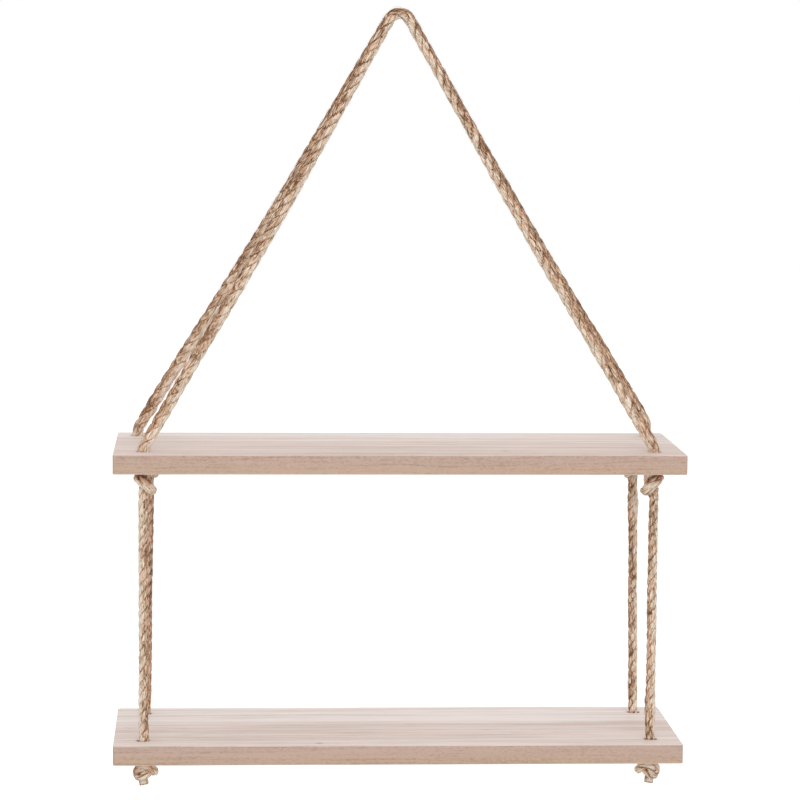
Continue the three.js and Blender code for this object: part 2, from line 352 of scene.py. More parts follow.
def jute_finish(name, rope, radius, seed, painted_light_lift=0.0, painted_groove_shade=0.55, patchy=0.9):
    """Twisted jute. The attribute `rope_place` holds a point's place in the rope as if it lay straight:
    across, across and along, in millimetres, so that the yarns run along the rope.
    A second attribute says how much paler the fibres are there, or darker where it is below 0. It holds
    painted light and shade together with the rope's own paler and darker stretches."""
    look = Finish(name)
    place = look.add("ShaderNodeAttribute", {"attribute_name": "rope_place"}, give=1)
    painted_light_and_tone = look.add("ShaderNodeAttribute", {"attribute_name": "rope_bleach"}, give=2)
    place = look.add("ShaderNodeVectorMath", {"operation": "ADD"}, {0: place, 1: (0.0, 0.0, seed)})
    x, y, _ = look.parts(place)
    out = (x ** 2 + y ** 2) ** 0.5 / radius
    wander = look.noise(place, (0.16, 0.16, 0.08))
    sway = look.add("ShaderNodeCombineXYZ", None, {0: wander - 0.5, 1: 0.5 - wander, 2: 0.0})
    bent = look.add("ShaderNodeVectorMath", {"operation": "MULTIPLY_ADD"},
                    {0: sway, 1: (4.0, 4.0, 0.0), 2: place})
    cells = look.stretched(bent, (0.66, 0.66, 0.06))
    yarn = look.add("ShaderNodeTexVoronoi", {"feature": "F1"}, {"Vector": cells, "Scale": 1.0}, give=1)
    yarn_tone = look.parts(yarn)[0]
    edge = look.add("ShaderNodeTexVoronoi", {"feature": "DISTANCE_TO_EDGE"}, {"Vector": cells, "Scale": 1.0})
    line = 1 - look.step(edge, 0.0, 0.16)
    fibres = look.noise(bent, (3.6, 3.6, 0.17), 3.0, 0.65)
    streaks = look.noise(bent, (1.3, 1.3, 0.12), 1.0)
    patches = look.noise(place, (0.11, 0.11, 0.07), 2.0, 0.6)
    spots = look.step(look.noise(place, (0.42, 0.42, 0.24)), 0.64, 0.74)
    # Painted shade: the tone is darkened in the joints between strands, where shade falls, by an amount set
    # for each finish
    groove = 1 - look.step(out, 0.66, 0.98)
    dashes = look.step(look.noise(bent, (0.95, 0.95, 0.10), 1.0), 0.54, 0.66)
    loose = look.step(out, 1.2, 1.4)
    # Painted light: the lift added to the tone makes the ropes between the boards and the knots, which hang
    # in the boards' shade, paler
    tone = 0.79 + painted_light_lift + (yarn_tone - 0.5) * 0.45 + (fibres - 0.5) * 1.4 + (streaks - 0.5) * 1.7
    tone = tone + (patches - 0.5) * patchy + painted_light_and_tone
    tone = tone - line * 0.32 - groove * painted_groove_shade - dashes * 0.34 - spots * 0.4 + loose * 0.3
    half_dark = tuple(0.45 * a + 0.55 * b for a, b in zip(rope.dark_colour, rope.mid_colour))
    colour = look.add("ShaderNodeValToRGB", {"stops": [
        (0.0, rope.dark_colour), (0.3, half_dark), (0.58, rope.mid_colour), (1.0, rope.pale_colour),
    ]}, {0: tone})
    red = look.step(look.noise(place, (0.30, 0.30, 0.07)) - painted_light_and_tone * 0.5, 0.46, 0.62)
    colour = look.mixed(colour, (1.0, 0.73, 0.58), red * (0.52 * patchy), "MULTIPLY")
    grey = look.step(look.noise(place, (0.22, 0.22, 0.09)), 0.54, 0.66)
    colour = look.mixed(colour, (0.88, 0.97, 1.0), grey * (0.55 * patchy), "MULTIPLY")
    yellow = look.step(look.noise(place, (0.35, 0.35, 0.12)), 0.52, 0.64)
    colour = look.mixed(colour, (1.0, 0.97, 0.80), yellow * (0.45 * patchy), "MULTIPLY")
    look.set_surface(base_color=colour, roughness=0.9)
    look.set_surface(normal=look.bumped(fibres * 0.7 - line * 0.5 + yarn_tone * 0.3, 0.0004))
    look.feed(look.surface.inputs["Specular IOR Level"], 0.25)
    return look.material


# Meshes

def add_object(name, points, quads, triangles, material, places=None, painted_light_and_tone=None, smooth=True):
    """A mesh object from points in millimetres, with each point's place in the rope and how much paler or
    darker the rope is there, painted light and shade among it.
    """
    mesh = bpy.data.meshes.new(name)
    corners = np.concatenate([np.ravel(quads), np.ravel(triangles)]).astype(np.int32)
    sizes = np.concatenate([np.full(len(quads), 4), np.full(len(triangles), 3)]).astype(np.int32)
    starts = (np.cumsum(sizes) - sizes).astype(np.int32)
    mesh.vertices.add(len(points))
    mesh.vertices.foreach_set("co", (np.asarray(points) * MM).astype(np.float32).ravel())
    mesh.loops.add(len(corners))
    mesh.loops.foreach_set("vertex_index", corners)
    mesh.polygons.add(len(sizes))
    mesh.polygons.foreach_set("loop_start", starts)
    mesh.polygons.foreach_set("loop_total", sizes)
    for label, kind, field, values in (
        ("rope_place", "FLOAT_VECTOR", "vector", places),
        ("rope_bleach", "FLOAT", "value", painted_light_and_tone),
    ):
        if values is not None:
            attribute = mesh.attributes.new(label, kind, "POINT")
            attribute.data.foreach_set(field, np.asarray(values, np.float32).ravel())
    mesh.update(calc_edges=True)
    mesh.validate()
    mesh.polygons.foreach_set("use_smooth", np.full(len(mesh.polygons), smooth))
    mesh.materials.append(material)
    made = bpy.data.objects.new(name, mesh)
    bpy.context.scene.collection.objects.link(made)
    return made


class Line:
    """A route of the rope with a point every step, and two directions across it that turn very little."""

    def __init__(self, points, step):
        points = np.asarray(points, float)
        reach = np.concatenate([[0], np.cumsum(np.linalg.norm(np.diff(points, axis=0), axis=1))])
        count = int(math.ceil(reach[-1] / step)) + 1
        self.along = np.linspace(0, reach[-1], count)
        self.points = np.stack([np.interp(self.along, reach, column) for column in points.T], 1)
        ahead = np.gradient(self.points, axis=0)
        self.tangents = ahead / np.linalg.norm(ahead, axis=1)[:, None]
        self.length = reach[-1]
        self.across, self.beside = self.frames()

    def frames(self):
        """The first direction is carried along the line with no more turning than the line has."""
        first = np.cross(self.tangents[0], [0.0, 1.0, 0.0])
        rows = [first / np.linalg.norm(first)]
        for tangent in self.tangents[1:]:
            row = rows[-1] - (rows[-1] @ tangent) * tangent
            rows.append(row / np.linalg.norm(row))
        across = np.array(rows)
        return across, np.cross(self.tangents, across)

    def place(self, index, x, y):
        """Points at x and y across the line from its point of that index."""
        return self.points[index] + x[..., None] * self.across[index] + y[..., None] * self.beside[index]


def rounded(corners, radii, step):
    """A route through corners whose turns are arcs of the given radii."""
    corners = [np.asarray(c, float) for c in corners]
    route = [corners[0]]
    for before, here, after, radius in zip(corners, corners[1:], corners[2:], radii):
        into = (here - before) / np.linalg.norm(here - before)
        out = (after - here) / np.linalg.norm(after - here)
        turn = math.acos(np.clip(into @ out, -1, 1))
        if turn < 1e-4:
            continue
        cut = radius * math.tan(turn / 2)
        start = here - into * cut
        normal = out - (out @ into) * into
        centre = start + normal / np.linalg.norm(normal) * radius
        arm = start - centre
        pieces = max(3, int(math.ceil(radius * turn / step)))
        for i in range(pieces + 1):
            angle = turn * i / pieces
            route.append(centre + arm * math.cos(angle) + into * radius * math.sin(angle))
    route.append(corners[-1])
    return np.array(route)


def wave(along, period, rng, octaves=2):
    """Smooth random values between about -1 and 1 along a line, with a pattern every period."""
    total = np.zeros(len(along))
    for octave in range(octaves):
        count = int(along[-1] / period * 2 ** octave) + 5
        knots = rng.uniform(-1, 1, count)
        t = along / period * 2 ** octave
        whole = t.astype(int)
        part = t - whole
        part = part * part * (3 - 2 * part)
        total += (knots[whole] * (1 - part) + knots[whole + 1] * part) / 2 ** octave
    return total / 1.5


# The section of a strand: the points of its crown, how far its wedge reaches into its neighbours', and
# how far out its two inner points lie, both as shares, and the width of a yarn in millimetres
CROWN_POINTS = 13
STRANDS = 3
STRAND_OVERLAP = 1.09
CORE_REACH = 0.35
YARN_WIDTH = 1.4


class Unevenness:
    """Smooth random values over a rope's surface, in cells round it and along it."""

    def __init__(self, rng, cells, length, period):
        self.cells, self.period = cells, period
        self.table = rng.uniform(-1, 1, (cells, int(length / period) + 3))

    def at(self, turn, along):
        across = np.mod(turn / (2 * math.pi), 1) * self.cells
        onward = along / self.period
        i, j = across.astype(int) % self.cells, onward.astype(int)
        a, b = across - np.floor(across), onward - j
        a, b = a * a * (3 - 2 * a), b * b * (3 - 2 * b)
        table, k = self.table, (i + 1) % self.cells
        near = table[i, j] * (1 - a) + table[k, j] * a
        far = table[i, j + 1] * (1 - a) + table[k, j + 1] * a
        return near * (1 - b) + far * b


def twisted(line, radius, lay, rng, phase=0.0, groove=0.42, loose=0.0):
    """Points, faces and places of a laid rope along a line. radius is a number or one for each point.

    Each strand is a wedge of the rope whose crown is an arc. groove is how deep the joint between two
    strands is as a share of the radius, and loose is how unevenly they lie."""
    radius = np.broadcast_to(np.asarray(radius, float), line.along.shape)
    count = len(line.along)
    turn = phase + 2 * math.pi * line.along / lay + (0.22 + loose) * wave(line.along, 26.0, rng)
    sway_x = (0.05 + loose) * wave(line.along, 24.0, rng)
    sway_y = (0.05 + loose) * wave(line.along, 24.0, rng)
    half = math.pi / STRANDS
    spread = half * STRAND_OVERLAP
    edge = np.sin(np.linspace(-math.pi / 2, math.pi / 2, CROWN_POINTS))
    crown_angle = edge * spread
    crown_reach = 1 - groove * (1 - np.sqrt(np.clip(1 - edge ** 2, 0, 1)))
    core_angle = np.array([half * 0.75, -half * 0.75])
    sides = CROWN_POINTS + len(core_angle)
    around = np.concatenate([crown_angle, core_angle])
    reach = np.concatenate([crown_reach, np.full(len(core_angle), CORE_REACH)])
    yarns = Unevenness(rng, int(2 * math.pi * radius.mean() / YARN_WIDTH), line.length, 9.0)
    lumps = Unevenness(rng, 7, line.length, 5.0)
    points, quads, triangles, places = [], [], [], []
    start = 0
    for strand in range(STRANDS):
        fat = 1 + 0.035 * wave(line.along, 11.0, rng)
        wider = 1 + 0.06 * wave(line.along, 13.0, rng)
        middle = turn + 2 * math.pi * strand / STRANDS
        angle = middle[:, None] + around * wider[:, None]
        here = np.broadcast_to(line.along[:, None], angle.shape)
        rough = 0.035 * yarns.at(angle + 2.1 * strand, here) + 0.02 * lumps.at(angle, here)
        out = radius[:, None] * reach * (fat[:, None] + rough * (reach > 0.5))
        x = out * np.cos(angle) + (radius * sway_x)[:, None]
        y = out * np.sin(angle) + (radius * sway_y)[:, None]
        shell = line.points[:, None] + x[..., None] * line.across[:, None]
        shell = shell + y[..., None] * line.beside[:, None]
        place = np.stack([x, y, here + 400.0 * strand], -1)
        ring = np.arange(sides)
        rows = start + sides * np.arange(count - 1)[:, None]
        nxt = (ring + 1) % sides
        faces = [rows + ring, rows + nxt, rows + sides + nxt, rows + sides + ring]
        quads.append(np.stack(faces, -1).reshape(-1, 4))
        shell, place = shell.reshape(-1, 3), place.reshape(-1, 3)
        for end, first in ((0, 0), (count - 1, sides * (count - 1))):
            hub = start + len(shell)
            shell = np.vstack([shell, shell[first:first + sides].mean(0)])
            place = np.vstack([place, place[first:first + sides].mean(0)])
            pair = (ring, nxt) if end else (nxt, ring)
            rim = [start + first + corner for corner in pair]
            triangles.append(np.stack([*rim, np.full(sides, hub)], -1))
        points.append(shell)
        places.append(place)
        start += len(shell)
    return [np.vstack(points), np.vstack(quads), np.vstack(triangles), np.vstack(places)]


HAIR_POINTS = 4
HAIR_SIDES = 3
# How far a loose fibre may stand off its rope, in millimetres
HIGHEST_HAIR = 2.5
# How many radii out the finish takes a fibre to be: from 1.2 on it makes it paler
PLAIN_HAIR, PALE_HAIR = 1.1, 1.5


def slim_tubes(rings, places):
    """Closed tubes from their rings of points (tube, ring, point, axis), and one place for each tube."""
    count, length, sides = rings.shape[:3]
    each = length * sides
    root = (each * np.arange(count))[:, None]
    rows = root[..., None] + sides * np.arange(length - 1)[:, None]
    k = np.arange(sides)
    nxt = (k + 1) % sides
    quads = np.stack([rows + k, rows + nxt, rows + sides + nxt, rows + sides + k], -1).reshape(-1, 4)
    triangles = np.vstack([root + np.array([2, 1, 0]), root + each - sides + np.array([0, 1, 2])])
    return [rings.reshape(-1, 3), quads, triangles, np.repeat(places, each, axis=0)]


def hairs(line, radius, count, rng, low=0.0, high=1.0, longest=8.0, spread=0.45, thickest=0.095,
          pale=False):
    """Loose fibres that start inside the rope and lie nearly along it. Each is a thin closed tube."""
    radius = np.broadcast_to(np.asarray(radius, float), line.along.shape)
    index = (rng.uniform(low, high, count) * (len(line.along) - 1)).astype(int)
    long = rng.uniform(0.3, 1.0, count) ** 1.5 * longest
    way = rng.choice([-1.0, 1.0], count)
    angle = rng.uniform(0, 2 * math.pi, count)
    curl = rng.normal(0, 0.55, count)
    rise = np.minimum(0.12 + rng.exponential(spread, count), HIGHEST_HAIR)
    bow = rng.uniform(0.0, 1.0, count)
    thick = rng.uniform(0.4, 1.0, count) * thickest
    tip = np.linspace(0, 1, HAIR_POINTS)
    step = line.along[1] - line.along[0]
    centres = np.empty((count, HAIR_POINTS, 3))
    for j, t in enumerate(tip):
        at = np.clip((index + way * long * t / step).round().astype(int), 0, len(line.along) - 1)
        lifted = t ** 1.5 * (1 - bow) + bow * math.sin(math.pi * 0.8 * t)
        out = radius[index] * 0.82 + (radius[index] * 0.16 + rise) * lifted
        turn = angle + curl * t
        centres[:, j] = line.place(at, out * np.cos(turn), out * np.sin(turn))
    ahead = np.gradient(centres, axis=1)
    ahead /= np.linalg.norm(ahead, axis=2)[..., None] + 1e-9
    side = np.cross(ahead, np.broadcast_to(line.across[index][:, None], ahead.shape))
    side /= np.linalg.norm(side, axis=2)[..., None] + 1e-9
    other = np.cross(ahead, side)
    slim = thick[:, None] * (1 - 0.7 * tip)[None]
    ring = []
    for k in range(HAIR_SIDES):
        a = 2 * math.pi * k / HAIR_SIDES
        ring.append(centres + slim[..., None] * (math.cos(a) * side + math.sin(a) * other))
    tone = rng.uniform(0, 300, count)
    far = radius[index] * (PALE_HAIR if pale else PLAIN_HAIR)
    places = np.stack([far * np.cos(angle), far * np.sin(angle), tone], -1)
    return slim_tubes(np.stack(ring, 2), places)


def together(*parts):
    """Several meshes as one."""
    start, quads, triangles = 0, [], []
    for points, some_quads, some_triangles, _ in parts:
        quads.append(some_quads + start)
        triangles.append(some_triangles + start)
        start += len(points)
    points, places = (np.vstack([part[i] for part in parts]) for i in (0, 3))
    return [points, np.vstack(quads), np.vstack(triangles), places]


def cut_end(line, radius, rng, count=150):
    """The brush of fibres at a cut end, which is the line's last point."""
    angle = rng.uniform(0, 2 * math.pi, count)
    out = radius * np.sqrt(rng.uniform(0, 0.85, count))
    long = rng.uniform(0.5, 1.5, count)
    lean = rng.normal(0, 0.25, (count, 2))
    end = len(line.along) - 1
    base = line.place(np.full(count, end), out * np.cos(angle), out * np.sin(angle))
    base = base - 0.6 * line.tangents[end]
    tip = base + (0.6 + long)[:, None] * line.tangents[end]
    tip += lean[:, :1] * line.across[end] + lean[:, 1:] * line.beside[end]
    thick = rng.uniform(0.1, 0.22, count)
    rings = []
    for k in range(HAIR_SIDES):
        a = 2 * math.pi * k / HAIR_SIDES
        arm = thick[:, None] * (math.cos(a) * line.across[end] + math.sin(a) * line.beside[end])
        rings.append(np.stack([base + arm, tip + arm * 0.7], 1))
    places = np.stack([radius * np.cos(angle), radius * np.sin(angle), rng.uniform(0, 300, count)], -1)
    return slim_tubes(np.stack(rings, 2), places)


def soft_spots(points, spots):
    """How much paler, or darker below 0, the rope is at each point. A spot is x, y, z, reach and amount."""
    total = np.zeros(len(points))
    for *centre, reach, amount in spots:
        total += amount * np.exp(-np.sum((points - centre) ** 2, axis=1) / reach ** 2)
    return total


# The boards

HOLE_POINTS = 48
CORNER_PIECES = 5
EDGE_PIECES = 4
# A face whose normal lies this close to an axis is one of the board's flat faces
SQUARE_ON = 0.9995


def rounded_rectangle(half_x, half_y, radius, pieces):
    points = []
    for turn, (sx, sy) in enumerate([(1, 1), (-1, 1), (-1, -1), (1, -1)]):
        for i in range(pieces + 1):
            a = math.pi / 2 * (turn + i / pieces)
            points.append((sx * (half_x - radius) + radius * math.cos(a),
                           sy * (half_y - radius) + radius * math.sin(a)))
    return np.array(points)


def board_mesh(name, low, high, board, back_outset, material):
    """A board with sanded edges and four holes."""
    edge, corner = board.edge_radius, board.corner_radius
    hole_radius = board.hole_diameter / 2
    hole_x, hole_y = high[0] - board.hole_inset, high[1] - board.hole_inset
    hole_turn = np.linspace(0, 2 * math.pi, HOLE_POINTS, endpoint=False)
    circle = np.stack([np.cos(-hole_turn), np.sin(-hole_turn)], 1)
    holes = ((hole_x, -hole_y), (hole_x + back_outset, hole_y))
    centres = [(side * x, y) for side in SIDES.values() for x, y in holes]

    def loops(shrink):
        outer = rounded_rectangle(high[0] - shrink, high[1] - shrink, corner - shrink * 0.5, CORNER_PIECES)
        return [outer, *(np.array(centre) + (hole_radius + shrink) * circle for centre in centres)]

    levels = []
    for i in range(EDGE_PIECES + 1):
        a = math.pi / 2 * i / EDGE_PIECES
        levels.append((edge * (1 - math.sin(a)), high[2] - edge * (1 - math.cos(a))))
    levels += [(shrink, low[2] + high[2] - z) for shrink, z in reversed(levels)]
    points, quads = [], []
    start = 0
    rings = []
    for shrink, z in levels:
        ring_starts = []
        for loop in loops(shrink):
            ring_starts.append((start, len(loop)))
            points.append(np.column_stack([loop, np.full(len(loop), z)]))
            start += len(loop)
        rings.append(ring_starts)
    for upper, lower in zip(rings, rings[1:]):
        for (a, n), (b, _) in zip(upper, lower):
            i = np.arange(n)
            j = (i + 1) % n
            quads.append(np.stack([a + j, a + i, b + i, b + j], -1))
    points = np.vstack(points)
    triangles = []
    for ring_starts, flip in ((rings[0], False), (rings[-1], True)):
        loops_3d = [[Vector(points[a + i]) for i in range(n)] for a, n in ring_starts]
        index = np.concatenate([a + np.arange(n) for a, n in ring_starts])
        for tri in geometry.tessellate_polygon(loops_3d):
            tri = index[list(tri)]
            a, b, c = points[tri]
            up = np.cross(b - a, c - a)[2] > 0
            triangles.append(tri if up != flip else tri[::-1])
    made = add_object(name, points, np.vstack(quads), np.array(triangles), material)
    normals = [p.normal for p in made.data.polygons]
    smooth = [max(abs(n.x), abs(n.y), abs(n.z)) < SQUARE_ON for n in normals]
    made.data.polygons.foreach_set("use_smooth", smooth)
    return made


# The ropes' routes, as the frame has them, in millimetres

# From one point of a line to the next
ARC_STEP, RUN_STEP, LEG_STEP, KNOT_STEP = 0.5, 0.85, 0.8, 0.6
# How far a rope over the hook goes into an upper hole
RUN_IN_HOLE = 10
# How far below the upper board a leg starts, and how far into the lower hole it goes
LEG_START, LEG_IN_HOLE = 12.5, 2.4
# How far the middle of an upper knot lies below the board and inwards, and how far its line goes up and down
KNOT_DROP, KNOT_INSET = 9.8, 0.4
KNOT_UP, KNOT_DOWN = 15.0, 10.6
# Over what length a rope gets thinner where it goes into a knot
KNOT_TAPER = 9.0
# How much fatter the rope is at the middle of an upper knot, and over what reach
KNOT_SWELL, KNOT_SWELL_REACH = 0.75, 7.0
# How much thicker a rope over the hook is where it's slack, as a share, and how far from its end that
# begins and is most. From there it fades out towards the hook.
RUN_SWELL, SLACK_FROM, SLACK_MOST = 0.13, 12, 35


def upper_route(row, rope, x):
    """Up from the left hole of the upper board, at x, over the hook and down into the right hole."""
    bend = (rope.hook_diameter + rope.run_diameter) / 2
    top = np.array([0, row * (rope.run_diameter + rope.ropes_gap) / 2, rope.run_diameter / 2])
    heights = (rope.turn_height, rope.turn_height)
    if row > 0:
        heights = (rope.back_left_turn_height, rope.back_right_turn_height)
    turns, outward = [], []
    for side, height in zip(SIDES.values(), heights):
        corner = np.array([side * x, row * ROPE_Y, UPPER_HIGH[2] + height])
        down = corner - top
        down[0] = 0
        reach = np.linalg.norm(down) - bend
        down = down / np.linalg.norm(down)
        slant = math.atan2(x, reach) - math.asin(bend / math.hypot(x, reach))
        turns.append(corner)
        outward.append([side * math.cos(slant), -math.sin(slant)])
    apex_x, apex_down = np.linalg.solve(outward, [bend, bend])
    apex = top + bend * down + [apex_x, 0, 0] + apex_down * down
    ends = [corner * [1, 1, 0] + [0, 0, UPPER_HIGH[2] - RUN_IN_HOLE] for corner in turns]
    route = [ends[0], turns[0], apex, turns[1], ends[1]]
    route = Line(rounded(route, [rope.turn_radius, bend, rope.turn_radius], ARC_STEP), ARC_STEP).points
    # The sag is 0 at the hook and at the board, and most half-way between them
    route[:, 2] -= rope.sag * np.sin(math.pi * route[:, 0] / x) ** 2
    return route


# An upper knot from its hole to the rope below, in units: outwards, backwards and up from its middle
UPPER_KNOT = [
    (-0.55, 0.0, 1.65), (-0.95, 0.05, 1.2), (-0.9, 0.3, 0.7), (0.55, 0.95, -0.4), (-0.55, 1.4, -0.95),
    (-1.45, 0.6, -0.85), (-0.95, -1.05, -0.5), (0, -1.35, 0), (0.95, -1.05, 0.5), (1.45, 0.6, 0.85),
    (0.55, 1.4, 0.95), (-0.55, 0.95, 0.4), (-0.3, 0.1, -0.75), (-0.1, 0.05, -1.3), (0, 0, -1.65),
]
# Its paler and its darker stretches, in millimetres from its middle: a spot's place, reach and amount. The
# dark ones in its upper half, near the board, are partly painted shade under the board and partly darker
# fibres
UPPER_KNOT_SPOTS = [
    (4.5, -4, 6.6, 2.7, -0.7), (0.8, -5, 4.4, 2.6, -0.75), (-3.8, -4, 2.4, 2.6, -0.75),
    (-5.5, -2, 5.0, 1.6, -0.4), (6.0, -4, 2.4, 2.8, 0.3), (2.2, -5, 0.0, 2.8, 0.34),
    (-2.2, -5, -3.0, 2.8, 0.34), (-2.5, -4, 8.4, 3.0, 0.16), (0.4, -4, -7.0, 2.4, -0.5),
    (-2.8, -2, -8.5, 2.0, -0.3),
]


def upper_knot_route(side, knot, outset, inset):
    """Through a knot whose middle is the origin, down to the rope below it.

    Its upper end lies further out by outset and its lower end further in by inset."""
    points = np.array(UPPER_KNOT, float) * [side * knot.across_scale, knot.across_scale, knot.height_scale]
    points = np.vstack([[0, 0, KNOT_UP], points, [0, 0, -KNOT_DOWN]])
    points[:, 0] += side * np.interp(points[:, 2], (-KNOT_DOWN, KNOT_DOWN), (-inset, outset))
    points[:, 0] -= side * knot.inward * np.exp(-(points[:, 2] / knot.height_scale) ** 2)
    return through(points)


# The lower left knot from its hole to its cut end, in millimetres: inwards, backwards and up from the
# board's underside
LOWER_KNOT = [
    (0, 0, 10), (0, 0, 3), (1.6, 0.2, -2.6), (4.6, -3.4, -6.2), (0.8, -5.4, -10.6), (-3.6, -1.6, -12.2),
    (-4.6, 3.4, -8.6), (0.6, 5.6, -8.0), (5.6, 4.2, -9.0), (8.2, -0.6, -8.4), (5.6, -4.8, -5.2),
    (0.4, -6.2, -3.8), (-4.1, -3.6, -6.4), (-2.4, 0.2, -11.0), (-0.4, 0.6, -15.0),
]
# Height at which the lower knot ends and its tail begins
KNOT_FOOT = -16.2
# Its paler and its darker stretches, in the same directions
LOWER_KNOT_SPOTS = [
    (-7.1, -3, -6.0, 2.6, -0.5), (-2.5, -6, -2.6, 2.4, -0.6), (0.9, -6, -0.6, 2.6, -0.5),
    (5.2, -5, -2.0, 2.4, -0.3), (4.2, -6, -6.3, 2.6, -0.65), (1.6, -6, -8.6, 2.2, -0.5),
    (-0.8, -7, -5.4, 2.4, 0.3), (8.4, -2, -9.0, 3.4, 0.5), (5.6, -3, -10.5, 2.6, 0.45),
    (-3.8, -5, -8.4, 2.0, -0.25), (-5.0, -3, -10.8, 2.2, 0.1), (0.2, -3, -15.2, 2.2, 0.22),
    (3.1, -2, -14.6, 1.9, -0.6), (0.4, -4, -12.4, 1.8, -0.35),
]


def lower_knot_route(side, knot):
    """From the end of the rope above, through the hole and the knot, to the cut end."""
    cut = (0.2, 0.2, KNOT_FOOT - knot.tail_length)
    return through(np.array([*LOWER_KNOT, cut], float) * [-side, 1, 1])


def through(points, pieces=24):
    """A smooth line that passes through all the points."""
    padded = np.vstack([2 * points[0] - points[1], points, 2 * points[-1] - points[-2]])
    made = []
    for p0, p1, p2, p3 in zip(padded, padded[1:], padded[2:], padded[3:]):
        t1 = np.linalg.norm(p1 - p0) ** 0.5
        t2 = t1 + np.linalg.norm(p2 - p1) ** 0.5
        t3 = t2 + np.linalg.norm(p3 - p2) ** 0.5
        for t in np.linspace(t1, t2, pieces, endpoint=False):
            a1 = (t1 - t) / t1 * p0 + t / t1 * p1
            a2 = (t2 - t) / (t2 - t1) * p1 + (t - t1) / (t2 - t1) * p2
            a3 = (t3 - t) / (t3 - t2) * p2 + (t - t2) / (t3 - t2) * p3
            b1 = (t2 - t) / t2 * a1 + t / t2 * a2
            b2 = (t3 - t) / (t3 - t1) * a2 + (t - t1) / (t3 - t1) * a3
            made.append((t2 - t) / (t2 - t1) * b1 + (t - t1) / (t2 - t1) * b2)
    return np.array([*made, points[-1]])


def tapered(line, ends, middle):
    """A radius for each point of a knot's line: that of its ends, and another between them."""
    from_start = np.clip(line.along / KNOT_TAPER, 0, 1)
    from_end = np.clip((line.length - line.along) / KNOT_TAPER, 0, 1)
    ease_start, ease_end = (t * t * (3 - 2 * t) for t in (from_start, from_end))
    return middle + (ends[0] - middle) * (1 - ease_start) + (ends[1] - middle) * (1 - ease_end)


def settings():
    scene = bpy.context.scene
    return scene.shelf_board, scene.shelf_rope, scene.shelf_knot, scene.shelf_stage


# Places where a rope between the boards is slack and thick: its share of the way down, how much thicker
LEG_SWELLS = {"front_right": ((0.86, 0.16),), "back_right": ((0.14, 0.2),), "front_left": ((0.97, 0.1),)}
LEG_SWELL_REACH = 9.0
# Dark spots on a rope between the boards: millimetres below the upper board, and how dark
LEG_SPOTS = {
    "back_right": ((97.5, -0.6),),
    "front_right": ((108.0, -0.6),),
    "front_left": ((60.0, -0.3), (151.0, -0.3)),
}
# Where such a spot lies beside the middle of its leg, inwards and forwards, and its reach, in millimetres
LEG_SPOT_IN, LEG_SPOT_FORWARD, LEG_SPOT_REACH = 1.6, 3.0, 2.3

# The pale fibres where a rope over the hook goes into its hole: how many, and how far from the rope's end
WISP_HAIRS = 45
WISP_FROM, WISP_TO = 8, 17

# Where each group of pieces starts its random draws
ROPE_SEED, LEG_SEED, UPPER_KNOT_SEED, LOWER_KNOT_SEED = 11, 40, 70, 90

# The camera's yaw to the right, pitch down and roll in degrees, and its place in metres
CAMERA_TURN = (3.22, 5.82, 0.44)
CAMERA_PLACE = (-0.143, -2.590, -0.026)
# The soft box's width and height, its place and the point that it faces, in metres
BOX_SIZE = (2.4, 1.6)
BOX_PLACE = (0.0, -2.2, 0.75)
BOX_AIM = (0, 0, -0.35)
# Half of the floor's side, in millimetres
FLOOR_HALF = 30000.0


def corners():
    """The four places where a rope passes the boards: each one's name, row and side."""
    for row_name, row in ROWS.items():
        for side_name, side in SIDES.items():
            yield f"{row_name}_{side_name}", row, side


def draws(seed, row, side):
    """The random draws of one of four like pieces."""
    return np.random.default_rng(seed + 5 * row + side)


def tied(line, radius, rope, knot, rng, hairs_end):
    """The tight rope of a knot, with hairs on it up to a share of its length."""
    count = int(line.length * rope.hairs_per_mm)
    return [
        twisted(line, radius, knot.lay, rng, phase=rng.uniform(0, 6)),
        hairs(line, radius, count, rng, low=0.15, high=hairs_end, longest=4.5, spread=0.35),
    ]


def rope_piece(name, made, finish, painted_light_and_tone, *nodes):
    """A piece of rope that stands for these CAD nodes."""
    piece = add_object(name, *made[:3], finish, places=made[3], painted_light_and_tone=painted_light_and_tone)
    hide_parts(*nodes)
    return piece


# Operators, one for each group of pieces

class SHELF_OT_camera(bpy.types.Operator):
    """Sets up the camera"""
    bl_idname = "shelf.camera"
    bl_label = "Camera"

    def execute(self, context):
        stage = settings()[3]
        yaw, pitch, roll = (math.radians(a) for a in CAMERA_TURN)
        level = math.cos(pitch)
        ahead = Vector((math.sin(yaw) * level, math.cos(yaw) * level, -math.sin(pitch)))
        right = Vector((math.cos(yaw), -math.sin(yaw), 0))
        up = right.cross(ahead)
        tilted_right = right * math.cos(roll) + up * math.sin(roll)
        tilted_up = up * math.cos(roll) - right * math.sin(roll)
        data = bpy.data.cameras.new("Camera")
        data.lens = stage.focal_length
        data.clip_end = 50
        camera = bpy.data.objects.new("Camera", data)
        turn = Matrix((tilted_right, tilted_up, -ahead)).transposed()
        camera.matrix_world = Matrix.Translation(CAMERA_PLACE) @ turn.to_4x4()
        context.scene.collection.objects.link(camera)
        context.scene.camera = camera
        return {"FINISHED"}


